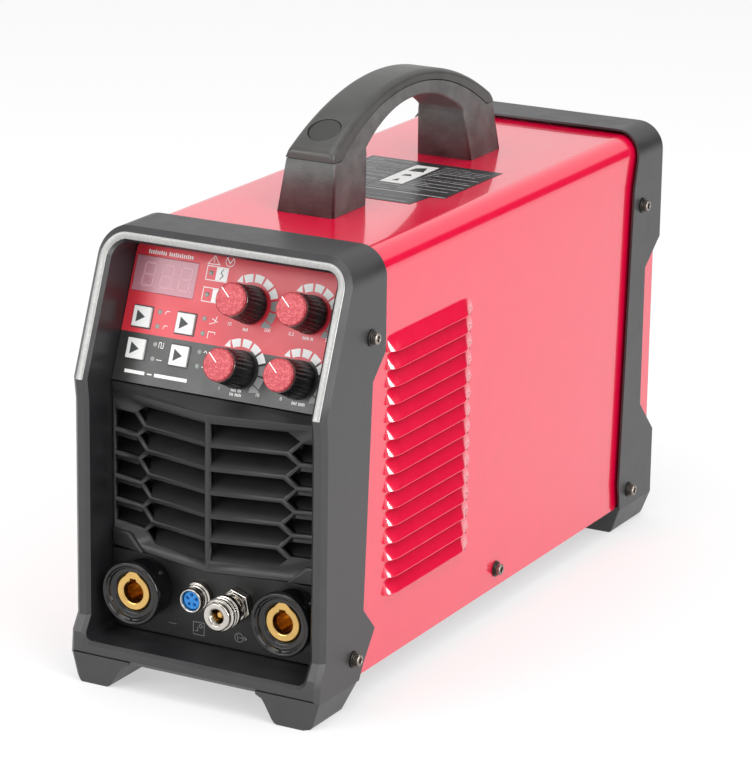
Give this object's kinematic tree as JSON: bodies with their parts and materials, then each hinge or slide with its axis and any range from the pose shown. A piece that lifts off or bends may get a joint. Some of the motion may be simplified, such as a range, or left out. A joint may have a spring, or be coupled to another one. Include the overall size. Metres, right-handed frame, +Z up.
{
  "type": "tig welder",
  "caption": "Portable inverter welding power source with a louvred sheet cover between moulded end frames, a sloped control panel, output sockets and a carrying handle.",
  "frame": {"origin": "on the floor, under the middle of the whole box with the mains cable included", "axes": "+Z up, -Y towards the user in front of the control panel, +X to the right of that user"},
  "size_m": [0.1888, 0.5286, 0.361],
  "materials": {
    "red_paint": "glossy powder coat",
    "black_plastic": "fine-textured moulding",
    "grip_plastic": "smooth satin moulding",
    "gloss_black": "glossy moulding",
    "silver_trim": "silver-grey paint",
    "fascia_red": "satin print on sheet, red above and dark grey below",
    "red_anodised": "brushed and anodised red",
    "button_grey": "satin",
    "smoked_lens": "clear tinted window",
    "nickel": "nickel plate",
    "brass": "machined",
    "blue_nylon": "satin",
    "black_steel": "blackened",
    "zinc": "zinc plate",
    "dark_paint": "satin black powder coat",
    "rubber": "matt sheath",
    "rocker_red": "glossy",
    "board_green": "solder mask",
    "aluminium": "mill finish",
    "ferrite": "dull"
  },
  "bodies": {
    "housing": {"base_pan": "zinc", "cable_gland": "black_plastic", "connector_plate": "black_plastic", "control_board": "board_green", "control_fascia": "fascia_red", "cover_screw_left": "black_steel", "cover_screw_right": "black_steel", "cover_shell": "red_paint", "display_lens": "smoked_lens", "fan_frame": "black_plastic", "front_frame": "black_plastic", "front_grille": "black_plastic", "front_screw_left_bottom": "black_steel", "front_screw_left_top": "black_steel", "front_screw_right_bottom": "black_steel", "front_screw_right_top": "black_steel", "front_trim": "silver_trim", "gas_inlet_barb": "brass", "gas_outlet_body": "nickel", "gas_valve": "brass", "handle_body": "black_plastic", "handle_grip": "grip_plastic", "handle_plug_front": "black_plastic", "handle_plug_rear": "black_plastic", "heat_sink": "aluminium", "inverter_board": "board_green", "main_transformer": "ferrite", "mains_cable": "rubber", "rear_frame": "black_plastic", "rear_panel": "dark_paint", "rear_screw_left_bottom": "black_steel", "rear_screw_left_top": "black_steel", "rear_screw_right_bottom": "black_steel", "rear_screw_right_top": "black_steel", "socket_contact_left": "brass", "socket_contact_right": "brass", "socket_shell_left": "gloss_black", "socket_shell_right": "gloss_black", "switch_body": "gloss_black", "torch_connector_insert": "blue_nylon", "torch_connector_shell": "nickel"},
    "knob_amps": {"knob_body_amps": "gloss_black", "knob_cap_amps": "red_anodised", "pot_shaft_amps": "nickel"},
    "knob_pulse": {"knob_body_pulse": "gloss_black", "knob_cap_pulse": "red_anodised", "pot_shaft_pulse": "nickel"},
    "knob_gas": {"knob_body_gas": "gloss_black", "knob_cap_gas": "red_anodised", "pot_shaft_gas": "nickel"},
    "knob_slope": {"knob_body_slope": "gloss_black", "knob_cap_slope": "red_anodised", "pot_shaft_slope": "nickel"},
    "button_mode": {"mode_button_mode": "button_grey"},
    "button_trigger": {"mode_button_trigger": "button_grey"},
    "button_current": {"mode_button_current": "button_grey"},
    "button_pulse_type": {"mode_button_pulse_type": "button_grey"},
    "gas_coupler": {"gas_coupler_sleeve": "nickel"},
    "fan": {"fan_rotor": "black_plastic"},
    "rocker": {"switch_rocker": "rocker_red"}
  },
  "joints": [
    {"name": "knob_amps_turn", "type": "hinge", "parent": "housing", "child": "knob_amps", "pos_m": [0.0085, -0.20719, 0.24716], "axis": [0, 0.9311, -0.3649], "range_deg": [-113, 187]},
    {"name": "knob_pulse_turn", "type": "hinge", "parent": "housing", "child": "knob_pulse", "pos_m": [0.051, -0.20719, 0.24716], "axis": [0, 0.9311, -0.3649], "range_deg": [-113, 187]},
    {"name": "knob_gas_turn", "type": "hinge", "parent": "housing", "child": "knob_gas", "pos_m": [0.0085, -0.222, 0.20936], "axis": [0, 0.9311, -0.3649], "range_deg": [-113, 187]},
    {"name": "knob_slope_turn", "type": "hinge", "parent": "housing", "child": "knob_slope", "pos_m": [0.051, -0.222, 0.20936], "axis": [0, 0.9311, -0.3649], "range_deg": [-113, 187]},
    {"name": "button_mode_press", "type": "slide", "parent": "housing", "child": "button_mode", "axis": [0, 0.9311, -0.3649], "range_m": [0, 0.0008], "stiffness_N_per_m": 400},
    {"name": "button_trigger_press", "type": "slide", "parent": "housing", "child": "button_trigger", "axis": [0, 0.9311, -0.3649], "range_m": [0, 0.0008], "stiffness_N_per_m": 400},
    {"name": "button_current_press", "type": "slide", "parent": "housing", "child": "button_current", "axis": [0, 0.9311, -0.3649], "range_m": [0, 0.0008], "stiffness_N_per_m": 400},
    {"name": "button_pulse_type_press", "type": "slide", "parent": "housing", "child": "button_pulse_type", "axis": [0, 0.9311, -0.3649], "range_m": [0, 0.0008], "stiffness_N_per_m": 400},
    {"name": "gas_coupler_slide", "type": "slide", "parent": "housing", "child": "gas_coupler", "axis": [0, 1, 0], "range_m": [0, 0.004], "stiffness_N_per_m": 800},
    {"name": "fan_spin", "type": "hinge", "parent": "housing", "child": "fan", "pos_m": [0, 0.18675, 0.138], "axis": [0, 1, 0], "continuous": true},
    {"name": "rocker_tilt", "type": "hinge", "parent": "housing", "child": "rocker", "pos_m": [0.042, 0.20735, 0.243], "axis": [1, 0, 0], "range_deg": [0, 24]}
  ]
}
